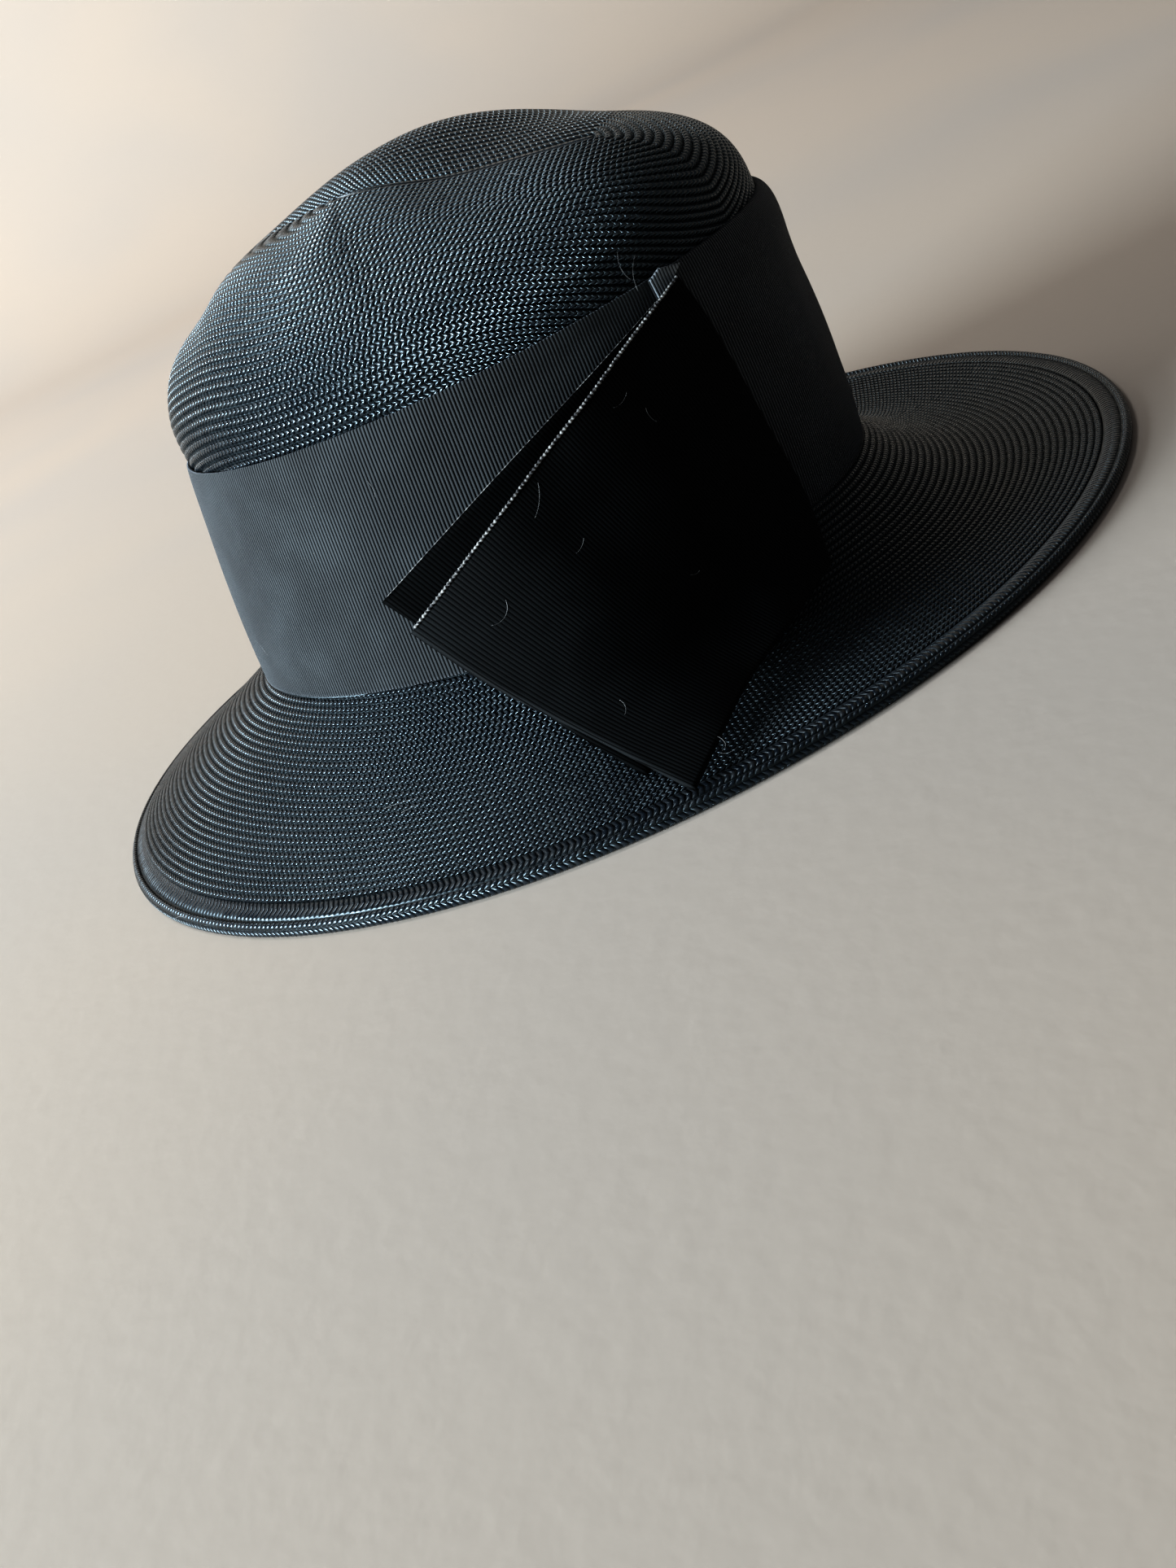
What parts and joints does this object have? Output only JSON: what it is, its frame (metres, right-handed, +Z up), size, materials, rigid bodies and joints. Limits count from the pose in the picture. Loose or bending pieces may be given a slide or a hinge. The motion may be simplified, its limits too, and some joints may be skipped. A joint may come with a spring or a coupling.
{
  "type": "picture hat",
  "caption": "Wide-brimmed picture hat of sewn straw braid with a rolled edge, a broad grosgrain band and a flat folded bow; the brim droops at the front.",
  "frame": {"origin": "on the floor under the middle of the rim, in the plane that the rolled edge rests on", "axes": "+Z up through the crown, -X the front of the hat where the brim droops, +X the back, -Y the wearer's left side with the bow"},
  "size_m": [0.3422, 0.3138, 0.1504],
  "materials": {
    "crown_straw": "glossy near-black sewn straw braid",
    "brim_straw": "glossy near-black sewn straw braid",
    "edge_straw": "doubled straw braid, glossy",
    "band_ribbon": "black ribbed grosgrain, satin",
    "bow_ribbon": "black ribbed grosgrain, satin",
    "tab_ribbon": "black ribbed grosgrain, satin"
  },
  "bodies": {
    "root": {"crown": "crown_straw", "brim": "brim_straw", "brim_edge": "edge_straw", "hat_band": "band_ribbon", "bow_front_flap": "bow_ribbon", "bow_under_flap": "bow_ribbon", "bow_tab": "tab_ribbon"}
  },
  "joints": []
}
